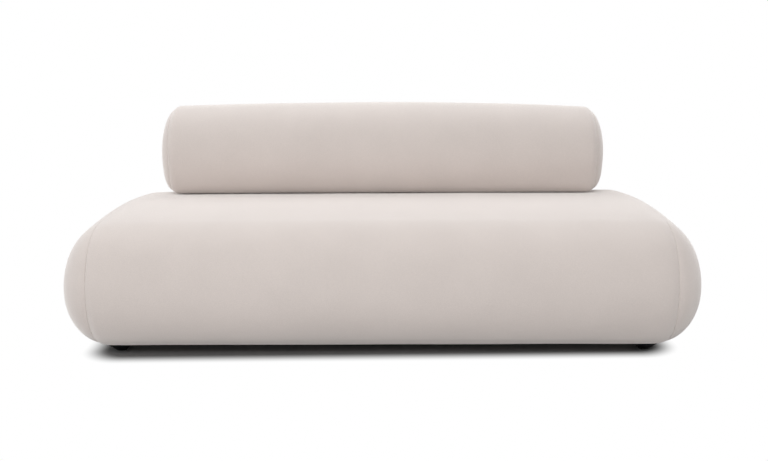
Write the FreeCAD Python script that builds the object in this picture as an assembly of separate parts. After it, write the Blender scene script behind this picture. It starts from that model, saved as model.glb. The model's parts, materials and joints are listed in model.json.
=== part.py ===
import FreeCAD, Part
import math
import os

# Sofa bed: a long upholstered base with a bolster backrest on two friction hinges.
# Millimetres. X runs along the sofa, Y from front to rear, Z up, origin on the floor under the middle.

# Base, outer form
base_length = 2000.0
base_depth = 1030.0
foot_height = 26.0
lower_roll_radius = 188.0
seat_height = 440.0
seat_crown_rise = 15.0
seat_end_drop = 4.0
base_end_bulge = 142.0
base_end_tip_radius = 14.0
base_end_panel_depth = 104.0
base_seam_pinch = 4.5
base_seam_pinch_reach = 24.0

# Bolster, outer form
bolster_end_margin = 190.0
bolster_radius = 190.0
bolster_end_drop = 17.0
bolster_underside = 143.0
bolster_corner_radius = 70.0
bolster_end_bulge = 66.0
bolster_end_tip_radius = 45.0
bolster_end_panel_depth = 40.0
bolster_seam_pinch = 3.0
bolster_seam_pinch_reach = 14.0
bolster_rear_margin = 40.0
bolster_seat_gap = 0.5
bed_level = 444.0

# Soft layers
cover_thickness = 3.0
foam_gap = 0.4
topper_thickness = 60.0
slit_clearance = 1.0
hem_width = 40.0
dust_cover_thickness = 2.0
dust_cover_gap = 0.5

# Timber frame of the base
board_thickness = 18.0
frame_inset = 5.0
rail_thickness = 22.0
rail_height = 150.0
cross_member_count = 3
cross_member_thickness = 22.0
cross_member_drop = 24.0
corner_block_leg = 70.0
corner_block_drop = 30.0
frame_screw_radius = 3.0
frame_screw_length = 62.0
frame_screw_head_radius = 5.5
frame_screw_head_height = 4.0
frame_screw_edge = 35.0

# Slats and their holders
slat_count = 14
slat_width = 70.0
slat_thickness = 12.0
slat_end_space = 20.0
holder_wall = 4.0
holder_floor = 4.0
holder_reach = 38.0
slat_play = 0.3

# Feet
foot_inset_x = 155.0
foot_inset_y = 200.0
foot_top_radius = 42.0
foot_bottom_radius = 18.0
foot_rim = 4.0
foot_spigot_radius = 15.0
glide_thickness = 3.0
glide_inset = 1.0
foot_screw_radius = 4.0
foot_screw_head_radius = 7.0
foot_screw_head_height = 5.0
foot_screw_recess = 10.0
foot_screw_grip = 40.0

# Hinges
hinge_end_inset = 260.0
hinge_hub_radius = 20.0
hinge_rear_margin = 1.0
arm_thickness = 12.0
cheek_thickness = 8.0
washer_thickness = 2.0
washer_inset = 2.0
running_gap = 0.05
pivot_radius = 8.0
pivot_head_radius = 13.0
pivot_head_height = 9.0
pivot_thread_proud = 3.0
disc_spring_radius = 16.0
disc_spring_thickness = 1.5
disc_spring_cone = 1.0
lock_nut_across = 24.0
lock_nut_height = 13.0
stop_web = 8.0
stop_pin_radius = 6.0
stop_lobe_wall = 5.0
stop_gap = 0.3
bracket_plate_thickness = 6.0
bracket_plate_width = 110.0
bracket_plate_margin = 12.0
cheek_corner_radius = 10.0
bracket_bolt_radius = 4.0
bracket_bolt_head_radius = 8.0
bracket_bolt_head_height = 5.0
bracket_bolt_margin = 18.0
bracket_nut_across = 13.0
bracket_nut_height = 7.0
hole_clearance = 0.1
flange_thickness = 8.0
flange_length = 120.0
flange_inset = 5.0
arm_screw_radius = 4.0
arm_screw_length = 55.0
arm_screw_head_radius = 7.0
arm_screw_head_height = 5.0
arm_screw_margin = 14.0

# Timber core of the bolster
beam_width = 90.0
beam_end_inset = 68.0
end_disc_inset = 15.0
end_disc_thickness = 12.0
disc_screw_radius = 3.0
disc_screw_length = 60.0
disc_screw_spacing = 44.0

# Places worked out from the sizes above
half_length = base_length / 2
half_depth = base_depth / 2
roll_z = foot_height + lower_roll_radius
upper_roll_radius = seat_height - seat_crown_rise - roll_z
base_end_draw = min(lower_roll_radius, upper_roll_radius) - base_end_tip_radius
base_dome_start = half_length - base_end_bulge
base_seam_x = half_length - base_end_panel_depth
bolster_length = base_length - 2 * bolster_end_margin
bolster_end_draw = bolster_radius - bolster_end_drop - bolster_end_tip_radius
bolster_dome_start = bolster_length / 2 - bolster_end_bulge
bolster_seam_x = bolster_length / 2 - bolster_end_panel_depth
bolster_centre_y = half_depth - bolster_rear_margin - bolster_radius
foam_depth = cover_thickness + foam_gap

frame_x = base_dome_start - frame_inset
frame_y = half_depth - lower_roll_radius - frame_inset
board_z = foot_height + foam_depth
rail_z = board_z + board_thickness
rail_top = rail_z + rail_height
slat_z = rail_top + holder_floor
slat_top = slat_z + slat_thickness
inner_x = frame_x - rail_thickness
inner_y = frame_y - rail_thickness
topper_z = seat_height - foam_depth - topper_thickness


def crown_radius(apex):
    """Radius of the seat's crown arc that runs smoothly into both upper rolls."""
    reach = half_depth - upper_roll_radius
    rise = apex - roll_z
    return (reach ** 2 + rise ** 2 - upper_roll_radius ** 2) / (2 * (rise - upper_roll_radius))


seat_crown_radius = crown_radius(seat_height)
bolster_reach = seat_crown_radius + bolster_seat_gap + bolster_underside
bolster_tilt = math.asin(bolster_centre_y / bolster_reach)
bolster_z = seat_height - seat_crown_radius + bolster_reach * math.cos(bolster_tilt)

# The pivot stands so high that the flipped bolster's underside lies level at the bed level.
flip_angle = math.pi - bolster_tilt
pivot_y = half_depth - hinge_hub_radius - hinge_rear_margin
pivot_lever_y = bolster_centre_y - pivot_y
flipped_z = bed_level - bolster_underside
pivot_rise = flipped_z + pivot_lever_y * math.sin(flip_angle) - bolster_z * math.cos(flip_angle)
pivot_z = pivot_rise / (1 - math.cos(flip_angle))
arm_angle = math.atan2(bolster_z - pivot_z, bolster_centre_y - pivot_y)
arm_reach = math.hypot(bolster_z - pivot_z, bolster_centre_y - pivot_y)
beam_face = arm_reach - beam_width / 2
flange_face = beam_face - flange_thickness
flange_width = beam_width - 2 * flange_inset
hinge_x = bolster_length / 2 - hinge_end_inset
stop_circle_radius = hinge_hub_radius + stop_pin_radius + stop_web
washer_radius = hinge_hub_radius - washer_inset
end_disc_radius = bolster_underside - end_disc_inset


def point(x, y, z):
    return FreeCAD.Vector(x, y, z)


def on_circle(x, centre, radius, angle):
    """Point on a circle that lies in the plane at x, the angle counted from +Y towards +Z."""
    return point(x, centre[0] + radius * math.cos(angle), centre[1] + radius * math.sin(angle))


def arc(x, centre, radius, start, end):
    """Arc edge in the plane at x, from the start angle to the end angle."""
    first = on_circle(x, centre, radius, start)
    middle = on_circle(x, centre, radius, (start + end) / 2)
    last = on_circle(x, centre, radius, end)
    return Part.Arc(first, middle, last).toShape()


def line(first, last):
    return Part.LineSegment(first, last).toShape()


def block(x0, x1, y0, y1, z0, z1):
    return Part.makeBox(x1 - x0, y1 - y0, z1 - z0, point(x0, y0, z0))


def rod(radius, length, start, direction):
    return Part.makeCylinder(radius, length, start, direction)


def hexagon_nut(across, height, start, bore):
    """Nut with its axis along X, starting at the given point."""
    corner = across / math.sqrt(3)
    corners = []
    for side in range(7):
        corners.append(on_circle(start.x, (start.y, start.z), corner, math.radians(60 * side)))
    body = Part.Face(Part.makePolygon(corners)).extrude(point(height, 0, 0))
    return body.cut(rod(bore, height, start, point(1, 0, 0)))


def hull_plate(circles, x0, x1):
    """Plate between x0 and x1 whose outline is a belt round the circles, listed from +Y towards +Z."""
    normals = []
    for index, (y, z, radius) in enumerate(circles):
        next_y, next_z, next_radius = circles[(index + 1) % len(circles)]
        heading = math.atan2(next_z - z, next_y - y)
        lean = math.acos((radius - next_radius) / math.hypot(next_y - y, next_z - z))
        normals.append(heading - lean)
    edges = []
    for index, (y, z, radius) in enumerate(circles):
        start = normals[index - 1]
        end = normals[index]
        end += 2 * math.pi * math.ceil((start - end) / (2 * math.pi))
        edges.append(arc(x0, (y, z), radius, start, end))
        next_y, next_z, next_radius = circles[(index + 1) % len(circles)]
        leave = on_circle(x0, (y, z), radius, normals[index])
        arrive = on_circle(x0, (next_y, next_z), next_radius, normals[index])
        edges.append(line(leave, arrive))
    return Part.Face(Part.Wire(edges)).extrude(point(x1 - x0, 0, 0))


def widened(circles, extra):
    return [(y, z, radius + extra) for y, z, radius in circles]


def seam_pinch(x, seam_x, depth, reach):
    """How far the cover is drawn in beside a seam."""
    return depth * max(0.0, 1 - abs(abs(x) - seam_x) / reach) ** 2


def dome_draw(x, start, bulge, draw):
    """How far a bulging end has drawn in at x."""
    share = min(1.0, max(0.0, (abs(x) - start) / bulge))
    return draw * (1 - math.sqrt(1 - share ** 2))


def layer_x(x, start, bulge, depth):
    """Station of a layer that lies the given depth inside the outer surface."""
    if abs(x) <= start:
        return x
    return math.copysign(start + (abs(x) - start) * (bulge - depth) / bulge, x)


def base_outline(x, shape_x, depth):
    """Outline of the base in the plane at x, with the form it has at shape_x, set in by depth."""
    pinch = seam_pinch(shape_x, base_seam_x, base_seam_pinch, base_seam_pinch_reach)
    draw = dome_draw(shape_x, base_dome_start, base_end_bulge, base_end_draw) + pinch + depth
    apex = seat_height - seat_end_drop * min(1.0, abs(shape_x) / base_seam_x) ** 2
    crown = crown_radius(apex)
    crown_centre = (0.0, apex - crown)
    lower = lower_roll_radius - draw
    upper = upper_roll_radius - draw
    lower_y = half_depth - lower_roll_radius
    upper_y = half_depth - upper_roll_radius
    lean = math.atan2(upper_y, roll_z - crown_centre[1])
    edges = [
        line(point(x, lower_y, roll_z - lower), point(x, -lower_y, roll_z - lower)),
        arc(x, (-lower_y, roll_z), lower, -math.pi / 2, -math.pi),
        arc(x, (-upper_y, roll_z), upper, math.pi, math.pi / 2 + lean),
        arc(x, crown_centre, crown - draw, math.pi / 2 + lean, math.pi / 2 - lean),
        arc(x, (upper_y, roll_z), upper, math.pi / 2 - lean, 0.0),
        arc(x, (lower_y, roll_z), lower, 0.0, -math.pi / 2),
    ]
    return Part.Wire(edges)


def bolster_outline(x, shape_x, depth):
    """Outline of the bolster in the plane at x, with the form it has at shape_x, set in by depth."""
    radius = bolster_radius - bolster_end_drop * min(1.0, abs(shape_x) / bolster_seam_x) ** 2
    pinch = seam_pinch(shape_x, bolster_seam_x, bolster_seam_pinch, bolster_seam_pinch_reach)
    draw = dome_draw(shape_x, bolster_dome_start, bolster_end_bulge, bolster_end_draw) + pinch
    scale = (radius - draw) / radius
    corner = bolster_corner_radius * scale
    corner_drop = bolster_underside * scale - corner
    corner_reach = radius * scale - corner
    spread = math.acos(corner_drop / corner_reach)
    down = -math.pi / 2 - bolster_tilt
    centre = (bolster_centre_y, bolster_z)
    round_radius = radius * scale - depth
    corner_radius = corner - depth
    rear = on_circle(x, centre, corner_reach, down + spread)
    front = on_circle(x, centre, corner_reach, down - spread)
    rear_corner = (rear.y, rear.z)
    front_corner = (front.y, front.z)
    top = down + math.pi
    edges = [
        line(on_circle(x, front_corner, corner_radius, down), on_circle(x, rear_corner, corner_radius, down)),
        arc(x, rear_corner, corner_radius, down, down + spread),
        arc(x, centre, round_radius, down + spread, top),
        arc(x, centre, round_radius, top, top + math.pi - spread),
        arc(x, front_corner, corner_radius, top + math.pi - spread, top + math.pi),
    ]
    return Part.Wire(edges)


def both_ways(stations):
    """Stations from the far left to the far right, given the right-hand ones from the middle out."""
    return [-x for x in reversed(stations[1:])] + stations


def dome_stations(first_angle, steps, start, bulge):
    """Stations from an angle of the bulge's quarter round to its tip."""
    angles = [first_angle + (math.pi / 2 - first_angle) * step / steps for step in range(steps + 1)]
    return [start + bulge * math.sin(angle) for angle in angles]


def seam_angle(seam_x, start, bulge):
    return math.asin((seam_x - start) / bulge)


# The wrap stays straight over the whole frame, and draws in only between there and its seam.
base_straight_end = min(base_dome_start, base_seam_x - base_seam_pinch_reach)
base_wrap_draw = base_seam_x - base_straight_end
base_pinch_end = base_seam_x + base_seam_pinch_reach
base_wrap_stations = [base_straight_end * step / 3 for step in range(4)]
base_wrap_stations += [base_straight_end + base_wrap_draw * step / 6 for step in range(1, 7)]
base_end_stations = [base_seam_x + base_seam_pinch_reach * step / 2 for step in range(2)]
base_end_stations += dome_stations(
    seam_angle(base_pinch_end, base_dome_start, base_end_bulge), 6, base_dome_start, base_end_bulge)

bolster_seam_angle = seam_angle(bolster_seam_x, bolster_dome_start, bolster_end_bulge)
bolster_wrap_stations = [bolster_dome_start * step / 4 for step in range(4)]
bolster_wrap_stations += [
    bolster_dome_start + bolster_end_bulge * math.sin(bolster_seam_angle * step / 5) for step in range(6)]
bolster_end_stations = dome_stations(bolster_seam_angle, 5, bolster_dome_start, bolster_end_bulge)


def base_layer(stations, depth, ruled):
    """Solid of the base's form between its outer stations, set in by depth."""
    wires = []
    for x in stations:
        wires.append(base_outline(layer_x(x, base_dome_start, base_end_bulge, depth), x, depth))
    return Part.makeLoft(wires, True, ruled)


def bolster_layer(stations, depth, ruled):
    """Solid of the bolster's form between its outer stations, set in by depth."""
    wires = []
    for x in stations:
        wires.append(bolster_outline(layer_x(x, bolster_dome_start, bolster_end_bulge, depth), x, depth))
    return Part.makeLoft(wires, True, ruled)


def sleeve(outline, layer, stations, seam_x):
    """Cover that wraps round the form and is open at both seams."""
    run = both_ways(stations)
    overrun = seam_x + cover_thickness
    inner_wires = [outline(-overrun, -seam_x, cover_thickness)]
    inner_wires += [outline(x, x, cover_thickness) for x in run]
    inner_wires.append(outline(overrun, seam_x, cover_thickness))
    return layer(run, 0.0, True).cut(Part.makeLoft(inner_wires, True, True))


def end_panel(outline, layer, stations, start, bulge, seam_x, side):
    """Domed cover of one end, open at its seam."""
    run = [side * x for x in stations]
    underrun = seam_x - cover_thickness
    inner_wires = [outline(side * underrun, side * seam_x, cover_thickness)]
    for x in run:
        inner_wires.append(outline(layer_x(x, start, bulge, cover_thickness), x, cover_thickness))
    return layer(run, 0.0, False).cut(Part.makeLoft(inner_wires, True, True))


# Frame of the base
def frame_joint_places():
    """Middle of each front-to-rear member, from the left end rail to the right one."""
    end = frame_x - rail_thickness / 2
    places = [-end]
    for number in range(1, cross_member_count + 1):
        places.append(-end + 2 * end * number / (cross_member_count + 1))
    places.append(end)
    return places


def frame_screw_points():
    """Head point and inward direction of each screw through the front and rear rails."""
    points = []
    screw_heights = (rail_z + frame_screw_edge, rail_top - cross_member_drop - frame_screw_edge)
    for x in frame_joint_places():
        for side in (-1, 1):
            for z in screw_heights:
                points.append((point(x, side * frame_y, z), point(0, -side, 0)))
    return points


def screw(head_point, direction, radius, length, head_radius, head_height, clearance=0.0):
    """Screw whose head starts at head_point, or the hole for it when a clearance is given."""
    shank = rod(radius + clearance, length + clearance, head_point, direction)
    head = rod(head_radius + clearance, head_height + clearance, head_point, direction)
    return shank.fuse(head).removeSplitter()


def frame_screw(place, clearance=0.0):
    return screw(place[0], place[1], frame_screw_radius, frame_screw_length,
                 frame_screw_head_radius, frame_screw_head_height, clearance)


def foot_places():
    places = {}
    for y_name, y_side in (("front", -1), ("rear", 1)):
        for x_name, x_side in (("left", -1), ("right", 1)):
            x = x_side * (half_length - foot_inset_x)
            y = y_side * (half_depth - foot_inset_y)
            places[y_name + "_" + x_name] = (x, y)
    return places


foot_screw_z = glide_thickness + foot_screw_recess
foot_screw_length = board_z + foot_screw_grip - foot_screw_z


def foot_screw(x, y, clearance=0.0):
    return screw(point(x, y, foot_screw_z), point(0, 0, 1), foot_screw_radius, foot_screw_length,
                 foot_screw_head_radius, foot_screw_head_height, clearance)


def foot(x, y):
    """Tapered foot with a rim under the cover and a spigot up to the board."""
    top = foot_height - foam_gap
    profile = [
        (0.0, glide_thickness), (foot_bottom_radius, glide_thickness), (foot_top_radius, top - foot_rim),
        (foot_top_radius, top), (foot_spigot_radius, top), (foot_spigot_radius, board_z), (0.0, board_z),
        (0.0, glide_thickness)]
    outline = Part.makePolygon([point(radius, 0, z) for radius, z in profile])
    body = Part.Face(outline).revolve(point(0, 0, 0), point(0, 0, 1), 360)
    body.translate(point(x, y, 0))
    recess = rod(foot_screw_head_radius + hole_clearance, foot_screw_recess, point(x, y, glide_thickness),
                 point(0, 0, 1))
    return body.cut([recess, foot_screw(x, y, hole_clearance)])


def bracket_bolt_places(side):
    """Head points of the four bolts that hold a hinge bracket to the rear rail."""
    points = []
    across = bracket_plate_width / 2 - bracket_bolt_margin
    low = rail_z + bracket_plate_margin + bracket_bolt_margin
    high = rail_top - bracket_plate_margin - bracket_bolt_margin
    for x in (side * hinge_x - across, side * hinge_x + across):
        for z in (low, high):
            points.append(point(x, frame_y + bracket_plate_thickness, z))
    return points


def bracket_bolt(head_seat, clearance=0.0):
    """Bolt from outside the bracket plate through the rear rail and its nut."""
    length = bracket_plate_thickness + rail_thickness + bracket_nut_height
    shank = rod(bracket_bolt_radius + clearance, length, head_seat, point(0, -1, 0))
    if clearance:
        return shank
    return shank.fuse(rod(bracket_bolt_head_radius, bracket_bolt_head_height, head_seat, point(0, 1, 0)))


def bracket_nut(head_seat):
    """Nut on the inner face of the rear rail."""
    nut = hexagon_nut(bracket_nut_across, bracket_nut_height, point(0, 0, 0), bracket_bolt_radius)
    nut.rotate(point(0, 0, 0), point(0, 0, 1), -90)
    nut.translate(point(head_seat.x, inner_y, head_seat.z))
    return nut


def timber_frame():
    screw_holes = [frame_screw(place, hole_clearance) for place in frame_screw_points()]
    foot_holes = [foot_screw(x, y, hole_clearance) for x, y in foot_places().values()]
    bolt_holes = []
    for side in (-1, 1):
        bolt_holes += [bracket_bolt(seat, hole_clearance) for seat in bracket_bolt_places(side)]
    board = block(-frame_x, frame_x, -frame_y, frame_y, board_z, rail_z)
    front_rail = block(-frame_x, frame_x, -frame_y, -inner_y, rail_z, rail_top)
    rear_rail = block(-frame_x, frame_x, inner_y, frame_y, rail_z, rail_top)
    left_rail = block(-frame_x, -inner_x, -inner_y, inner_y, rail_z, rail_top)
    right_rail = block(inner_x, frame_x, -inner_y, inner_y, rail_z, rail_top)
    members = []
    for x in frame_joint_places()[1:-1]:
        half = cross_member_thickness / 2
        member = block(x - half, x + half, -inner_y, inner_y, rail_z, rail_top - cross_member_drop)
        members.append(member.cut(screw_holes))
    blocks = []
    for x_side in (-1, 1):
        for y_side in (-1, 1):
            corner = point(x_side * inner_x, y_side * inner_y, rail_z)
            along = corner - point(x_side * corner_block_leg, 0, 0)
            inward = corner - point(0, y_side * corner_block_leg, 0)
            face = Part.Face(Part.makePolygon([corner, along, inward, corner]))
            blocks.append(face.extrude(point(0, 0, rail_height - corner_block_drop)))
    return {
        "base_board": board.cut(foot_holes),
        "front_rail": front_rail.cut(screw_holes + foot_holes),
        "rear_rail": rear_rail.cut(screw_holes + foot_holes + bolt_holes),
        "left_end_rail": left_rail.cut(screw_holes),
        "right_end_rail": right_rail.cut(screw_holes),
        "cross_members": Part.makeCompound(members),
        "corner_blocks": Part.makeCompound(blocks),
        "frame_screws": Part.makeCompound([frame_screw(place) for place in frame_screw_points()]),
    }


def slat_bed():
    """Slats across the frame, each end dropped into a holder on a rail."""
    outer = slat_width / 2 + holder_wall
    first = -inner_x + slat_end_space + outer
    pitch = -2 * first / (slat_count - 1)
    slat_end = frame_y - holder_wall - slat_play
    slats = []
    holders = []
    for number in range(slat_count):
        x = first + pitch * number
        half = slat_width / 2
        slats.append(block(x - half, x + half, -slat_end, slat_end, slat_z, slat_top))
        for side in (-1, 1):
            ends = sorted((side * frame_y, side * (frame_y - holder_reach)))
            tray = block(x - outer, x + outer, ends[0], ends[1], rail_top, slat_top)
            room = half + slat_play
            reach = frame_y - holder_wall
            tray = tray.cut(block(x - room, x + room, -reach, reach, slat_z, slat_top))
            holders.append(tray)
    return {"slats": Part.makeCompound(slats), "slat_holders": Part.makeCompound(holders)}


def feet():
    nodes = {}
    screws = []
    glides = []
    for name, (x, y) in foot_places().items():
        nodes["foot_" + name] = foot(x, y)
        screws.append(foot_screw(x, y))
        glides.append(rod(foot_bottom_radius - glide_inset, glide_thickness, point(x, y, 0), point(0, 0, 1)))
    nodes["foot_screws"] = Part.makeCompound(screws)
    nodes["felt_glides"] = Part.makeCompound(glides)
    return nodes


# Hinges
def stop_angle():
    """Angle between the arm and a stop pin that it lies against."""
    return math.asin((hinge_hub_radius + stop_pin_radius + stop_gap) / stop_circle_radius)


def stop_places():
    """Middle of the stop pin for the sofa position, then of the one for the bed position."""
    places = []
    for angle in (arm_angle + stop_angle(), arm_angle - flip_angle - stop_angle()):
        spot = on_circle(0.0, (pivot_y, pivot_z), stop_circle_radius, angle)
        places.append((spot.y, spot.z))
    return places


def cheek_circles():
    """Outline of a bracket cheek: its foot on the plate, the bed stop, the hub and the sofa stop."""
    lobe = stop_pin_radius + stop_lobe_wall
    sofa_stop, bed_stop = stop_places()
    foot_y = frame_y + bracket_plate_thickness + cheek_corner_radius
    low = rail_z + bracket_plate_margin + cheek_corner_radius
    high = rail_top - bracket_plate_margin - cheek_corner_radius
    return [
        (foot_y, low, cheek_corner_radius), (bed_stop[0], bed_stop[1], lobe),
        (pivot_y, pivot_z, hinge_hub_radius), (sofa_stop[0], sofa_stop[1], lobe),
        (foot_y, high, cheek_corner_radius)]


cheek_inner = arm_thickness / 2 + washer_thickness + 2 * running_gap
cheek_outer = cheek_inner + cheek_thickness


def bracket_plate(side, extra=0.0):
    half = bracket_plate_width / 2 + extra
    x = side * hinge_x
    low = rail_z + bracket_plate_margin - extra
    high = rail_top - bracket_plate_margin + extra
    return block(x - half, x + half, frame_y, frame_y + bracket_plate_thickness + extra, low, high)


def bracket_web(x):
    """Weld fillet plate that joins the two cheeks to the plate."""
    low = rail_z + bracket_plate_margin
    high = rail_top - bracket_plate_margin
    start = frame_y + bracket_plate_thickness
    return block(x - cheek_outer, x + cheek_outer, start, start + cheek_corner_radius, low, high)


def hinge_bracket(side):
    """Bracket on the rear rail with two cheeks that carry the pivot and both stop pins."""
    x = side * hinge_x
    body = bracket_plate(side)
    body = body.fuse([
        hull_plate(cheek_circles(), x - cheek_outer, x - cheek_inner),
        hull_plate(cheek_circles(), x + cheek_inner, x + cheek_outer),
        bracket_web(x)])
    bores = [rod(pivot_radius + running_gap, 2 * cheek_outer, point(x - cheek_outer, pivot_y, pivot_z),
                 point(1, 0, 0))]
    for y, z in stop_places():
        bores.append(rod(stop_pin_radius, 2 * cheek_outer, point(x - cheek_outer, y, z), point(1, 0, 0)))
    bores += [bracket_bolt(seat, hole_clearance) for seat in bracket_bolt_places(side)]
    return body.cut(bores).removeSplitter()


def bracket_room(side):
    """Space that a bracket and its bolt heads take up in the foam and the cover."""
    x = side * hinge_x
    start = frame_y + bracket_plate_thickness
    room = hull_plate(widened(cheek_circles(), slit_clearance), x - cheek_outer - slit_clearance,
                      x + cheek_outer + slit_clearance)
    head_room = bracket_plate(side, slit_clearance)
    heads = [rod(bracket_bolt_head_radius + slit_clearance, bracket_bolt_head_height + slit_clearance,
                 seat, point(0, 1, 0)) for seat in bracket_bolt_places(side)]
    low = rail_z + bracket_plate_margin - slit_clearance
    high = rail_top - bracket_plate_margin + slit_clearance
    half = cheek_outer + slit_clearance
    web = block(x - half, x + half, start, start + cheek_corner_radius + slit_clearance, low, high)
    return room.fuse([head_room, web] + heads)


def arm_frame_point(along, across):
    """Point in the arm's own directions: along it from the pivot, and across it."""
    y = pivot_y + along * math.cos(arm_angle) - across * math.sin(arm_angle)
    z = pivot_z + along * math.sin(arm_angle) + across * math.cos(arm_angle)
    return (y, z)


def arm_block(x0, x1, along0, along1, half_across):
    """Box lined up with the arm."""
    corners = []
    for along, across in ((along0, -half_across), (along1, -half_across), (along1, half_across),
                          (along0, half_across), (along0, -half_across)):
        y, z = arm_frame_point(along, across)
        corners.append(point(x0, y, z))
    return Part.Face(Part.makePolygon(corners)).extrude(point(x1 - x0, 0, 0))


def arm_screw_points(side):
    """Head seats of the four screws that hold an arm's flange to the beam."""
    points = []
    across = flange_width / 2 - arm_screw_margin
    along_x = flange_length / 2 - arm_screw_margin
    for x in (side * hinge_x - along_x, side * hinge_x + along_x):
        for step in (-across, across):
            y, z = arm_frame_point(flange_face, step)
            points.append(point(x, y, z))
    return points


def arm_direction():
    return point(0, math.cos(arm_angle), math.sin(arm_angle))


def arm_screw(seat, clearance=0.0):
    shank = rod(arm_screw_radius + clearance, arm_screw_length + clearance, seat, arm_direction())
    if clearance:
        return shank
    head = rod(arm_screw_head_radius, arm_screw_head_height, seat, arm_direction() * -1)
    return shank.fuse(head)


def arm_strap(side, extra=0.0):
    """Hub and strap of an arm, up to its flange."""
    x = side * hinge_x
    half = arm_thickness / 2 + extra
    hub = rod(hinge_hub_radius + extra, 2 * half, point(x - half, pivot_y, pivot_z), point(1, 0, 0))
    strap = arm_block(x - half, x + half, 0.0, flange_face, hinge_hub_radius + extra)
    return hub.fuse(strap)


def hinge_arm(side):
    """Arm that turns on the pivot and carries the beam of the bolster."""
    x = side * hinge_x
    flange = arm_block(x - flange_length / 2, x + flange_length / 2, flange_face, beam_face, flange_width / 2)
    body = arm_strap(side).fuse(flange)
    bore = rod(pivot_radius + running_gap, arm_thickness, point(x - arm_thickness / 2, pivot_y, pivot_z),
               point(1, 0, 0))
    holes = [arm_screw(seat, hole_clearance) for seat in arm_screw_points(side)]
    return body.cut([bore] + holes).removeSplitter()


def arm_room(side):
    """Space that an arm, its flange and its screw heads take up in the bolster's foam and cover."""
    half = flange_length / 2 + slit_clearance
    x = side * hinge_x
    start = flange_face - arm_screw_head_height - slit_clearance
    flange = arm_block(x - half, x + half, start, beam_face, flange_width / 2 + slit_clearance)
    return arm_strap(side, slit_clearance).fuse(flange)


def washer(x, radius, thickness, bore):
    start = point(x, pivot_y, pivot_z)
    ring = rod(radius, thickness, start, point(1, 0, 0))
    return ring.cut(rod(bore, thickness, start, point(1, 0, 0)))


def disc_spring(x):
    """Coned spring washer under the lock nut."""
    bore = pivot_radius + running_gap
    profile = [
        (bore, disc_spring_cone), (disc_spring_radius, 0.0), (disc_spring_radius, disc_spring_thickness),
        (bore, disc_spring_cone + disc_spring_thickness), (bore, disc_spring_cone)]
    outline = Part.makePolygon([point(along, radius, 0) for radius, along in profile])
    ring = Part.Face(outline).revolve(point(0, 0, 0), point(1, 0, 0), 360)
    ring.translate(point(x, pivot_y, pivot_z))
    return ring


def pivot_bolt(side):
    """Pivot bolt with a round head, long enough for the spring and the lock nut."""
    x = side * hinge_x
    spring = disc_spring_cone + disc_spring_thickness
    length = 2 * cheek_outer + spring + lock_nut_height + pivot_thread_proud
    start = point(x - cheek_outer, pivot_y, pivot_z)
    shank = rod(pivot_radius, length, start, point(1, 0, 0))
    head = rod(pivot_head_radius, pivot_head_height, start, point(-1, 0, 0))
    return shank.fuse(head).removeSplitter()


def hinges():
    nodes = {}
    bolts = []
    nuts = []
    arm_screws = []
    for name, side in (("left", -1), ("right", 1)):
        x = side * hinge_x
        bore = pivot_radius + running_gap
        spring_x = x + cheek_outer
        nut_x = spring_x + disc_spring_cone + disc_spring_thickness
        washers = [
            washer(x - cheek_inner + running_gap, washer_radius, washer_thickness, bore),
            washer(x + arm_thickness / 2 + running_gap, washer_radius, washer_thickness, bore)]
        pins = [rod(stop_pin_radius, 2 * cheek_outer, point(x - cheek_outer, y, z), point(1, 0, 0))
                for y, z in stop_places()]
        nodes[name + "_hinge_bracket"] = hinge_bracket(side)
        nodes[name + "_hinge_arm"] = hinge_arm(side)
        nodes[name + "_pivot_bolt"] = pivot_bolt(side)
        nodes[name + "_friction_washers"] = Part.makeCompound(washers)
        nodes[name + "_disc_spring"] = disc_spring(spring_x)
        nodes[name + "_lock_nut"] = hexagon_nut(
            lock_nut_across, lock_nut_height, point(nut_x, pivot_y, pivot_z), pivot_radius)
        nodes[name + "_stop_pins"] = Part.makeCompound(pins)
        bolts += [bracket_bolt(seat) for seat in bracket_bolt_places(side)]
        nuts += [bracket_nut(seat) for seat in bracket_bolt_places(side)]
        arm_screws += [arm_screw(seat) for seat in arm_screw_points(side)]
    nodes["bracket_bolts"] = Part.makeCompound(bolts)
    nodes["bracket_nuts"] = Part.makeCompound(nuts)
    nodes["arm_screws"] = Part.makeCompound(arm_screws)
    return nodes


# Soft parts of the base
def base_foam():
    """Foam blocks that fill the base's cover round the frame."""
    stations = both_ways(base_wrap_stations + base_end_stations[1:])
    body = base_layer(stations, foam_depth, True)
    far = base_length
    over = seat_height
    rooms = [bracket_room(-1), bracket_room(1)]
    end_x = frame_x + foam_gap
    roll_y = frame_y + foam_gap
    seat = body.common(block(-frame_x, frame_x, -frame_y, frame_y, slat_top, topper_z))
    topper = body.common(block(-frame_x, frame_x, -frame_y, frame_y, topper_z + foam_gap, over))
    front = body.common(block(-frame_x, frame_x, -far, -roll_y, 0, over))
    rear = body.common(block(-frame_x, frame_x, roll_y, far, 0, over))
    return {
        "seat_foam": seat,
        "seat_topper": topper,
        "front_foam": front,
        "rear_foam": rear.cut(rooms),
        "left_end_foam": body.common(block(-far, -end_x, -far, far, 0, over)),
        "right_end_foam": body.common(block(end_x, far, -far, far, 0, over)),
    }


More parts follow.
